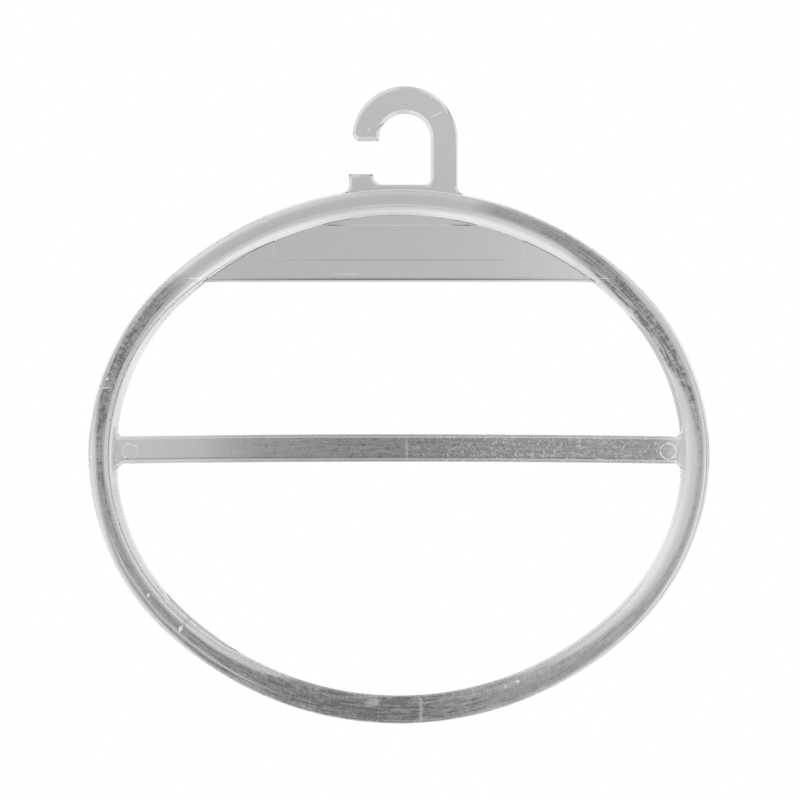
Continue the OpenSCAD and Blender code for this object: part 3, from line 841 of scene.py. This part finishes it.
def dressMoulding(piece, w):
    # what the scuffed material, with its painted shade, reads at each point: on the ring, the tables at its
    # share of the way round, faded out across the width
    mesh, b = piece.data, barSettings
    co = np.empty(len(mesh.vertices) * 3)
    mesh.vertices.foreach_get("co", co)
    co = co.reshape(-1, 3) / mm
    along, across = ovalCoordinates(co[:, 0], co[:, 2])
    amount, centre, half = [np.interp(along, w["along"], w[k]) for k in ("amount", "centre", "half")]
    onRim = amount * np.clip((half + w["fade"] / 2 - np.abs(across - centre)) / w["fade"], 0, 1)
    spared = np.interp(along, w["sparedAlong"], w["spared"])
    onRim *= 1 - spared * (1 - np.clip((across - w["shoulder"]) / w["fade"], 0, 1))
    # on the bar, less on its rounded edges; the material has how the wear and its painted shade change along it
    share = (co[:, 0] - ovalShape["middle"][0]) / b["halfLength"]
    above = co[:, 2] - b["middleZ"]
    inside = b["height"] / 2 - np.abs(above - b["bow"] * (1 - share ** 2))
    isBar = (across < w["barAcross"]) & (np.abs(above) < w["barReach"])
    addLayer(mesh, "wearAndShade", np.where(isBar, np.clip(inside / w["barEdge"], w["barEdgeWear"], 1), onRim))
    addLayer(mesh, "grainy", np.where(isBar, w["barGrainy"], np.interp(along, w["grainAlong"], w["grainy"])))
    addLayer(mesh, "weave", np.interp(along, w["grainAlong"], w["weave"]))
    addLayer(mesh, "onBar", isBar.astype(float))
    # where the painted highlights and the painted shade line lie across the ring and the bar, and how strong
    # they are
    for line, t in paintedLineTables.items():
        addLayer(mesh, line + "Place", np.where(isBar, t["barPlace"], np.interp(along, t["along"], t["place"])))
        addLayer(mesh, line + "Gain", np.where(isBar, t["barGain"], np.interp(along, t["along"], t["gain"])))
    mapLengthAndWidth(mesh, co, along, across, isBar)


def smoothMoulding(piece, w):
    # smooth shading that breaks at sharp edges and stays level on flat faces
    mesh = piece.data
    mesh.polygons.foreach_set("use_smooth", np.ones(len(mesh.polygons), bool))
    mesh.set_sharp_from_angle(angle=math.radians(w["sharpAngle"]))
    weighted = piece.modifiers.new("keepFlatsFlat", "WEIGHTED_NORMAL")
    weighted.keep_sharp = True
    weighted.weight = w["flatWeight"]


dressMoulding(hanger, wearAndShadeSettings)
smoothMoulding(hanger, wearAndShadeSettings)
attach(hanger, "root")
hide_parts("oval_rim", "cross_bar", "header_plate", "header_lip", "hanging_hook", "landing_pad")
print("moulding dressed")


# In metres, but for the colour and the sensor's width in mm
studioSettings = {
    "floorDrop": 0.75, "floorHalf": 0.9, "floorColour": "#f0f0f0",
    "distance": 0.52, "frameWidth": 0.2448, "aimX": -0.0015, "aimZ": -0.0798,
    "sensor": 36.0, "near": 0.01, "far": 20,
}


def studioFloor(s):
    k, z = s["floorHalf"] / mm, -s["floorDrop"] / mm
    floor = meshFromArrays("floor", [[-k, -k, z], [k, -k, z], [k, k, z], [-k, k, z]], [[0, 1, 2, 3]])
    material = bpy.data.materials.new("paintedFloor")   # matt white paint, seen as pure white from the camera
    tree = emptyTree(material)
    path = addNode(tree, "ShaderNodeLightPath").outputs["Is Camera Ray"]
    matt = addNode(tree, "ShaderNodeBsdfPrincipled",
                   {"Base Color": linearFromHex(s["floorColour"]), "Roughness": 0.9})
    white = addNode(tree, "ShaderNodeEmission", {"Color": (1, 1, 1, 1), "Strength": 1.0})
    shown = addNode(tree, "ShaderNodeMixShader", {0: path, 1: matt, 2: white})
    addNode(tree, "ShaderNodeOutputMaterial", {"Surface": shown})
    floor.data.materials.append(material)


# The surround's level by height, as the sine of the elevation, and by the share to the right: straight behind
# the object it is plain white, the screens above and beside it are brighter, and a dark seam stands between
# the backdrop and the left screen
worldSettings = {
    "brightest": 1.6,
    "upward": [(-1.0, 0.8), (-0.64, 0.85), (-0.54, 1.05), (-0.42, 1.15), (-0.25, 1.1),
               (-0.12, 1.0), (0.12, 1.0), (0.22, 1.12), (0.5, 1.4), (1.0, 1.2)],
    "sideways": [(-1.0, 1.25), (-0.6, 1.45), (-0.47, 1.45), (-0.445, 0.5), (-0.415, 0.5), (-0.39, 1.75),
                 (-0.33, 1.65), (-0.25, 1.2), (-0.17, 1.13), (-0.095, 0.97), (0.0, 1.0), (0.05, 1.05),
                 (0.11, 1.22), (0.2, 1.24), (0.35, 1.35), (0.6, 1.5), (1.0, 1.3)],
}


def studioWorld(s):
    world = bpy.data.worlds.new("softStudio")
    bpy.context.scene.world = world
    tree = emptyTree(world)
    way = addNode(tree, "ShaderNodeTexCoord").outputs["Generated"]
    parts = addNode(tree, "ShaderNodeSeparateXYZ", {0: way})
    upward = levelRamp(tree, parts.outputs["Z"], s["upward"])
    sideways = levelRamp(tree, parts.outputs["X"], s["sideways"])
    level = addNode(tree, "ShaderNodeMath", {0: upward, 1: sideways}, operation="MULTIPLY")
    capped = addNode(tree, "ShaderNodeMath", {0: level, 1: s["brightest"]}, operation="MINIMUM")
    path = addNode(tree, "ShaderNodeLightPath").outputs["Is Camera Ray"]
    strength = addNode(tree, "ShaderNodeMix", {"Factor": path, "A": capped, "B": 1.0}, data_type="FLOAT")
    light = addNode(tree, "ShaderNodeBackground", {"Color": (1, 1, 1, 1), "Strength": strength})
    addNode(tree, "ShaderNodeOutputWorld", {"Surface": light})


def studioCamera(s):
    # straight on; the lens is the sensor's width times the distance over the width it has to show
    data = bpy.data.cameras.new("camera")
    camera = bpy.data.objects.new("camera", data)
    bpy.context.scene.collection.objects.link(camera)
    camera.location = (s["aimX"], -s["distance"], s["aimZ"])
    camera.rotation_euler = (math.pi / 2, 0, 0)
    data.sensor_width = s["sensor"]
    data.lens = s["sensor"] * s["distance"] / s["frameWidth"]
    data.clip_start, data.clip_end = s["near"], s["far"]
    bpy.context.scene.camera = camera


studioFloor(studioSettings)
studioWorld(worldSettings)
studioCamera(studioSettings)
bpy.context.scene.view_settings.view_transform = "Standard"
print("studio set")

bpy.context.view_layer.update()
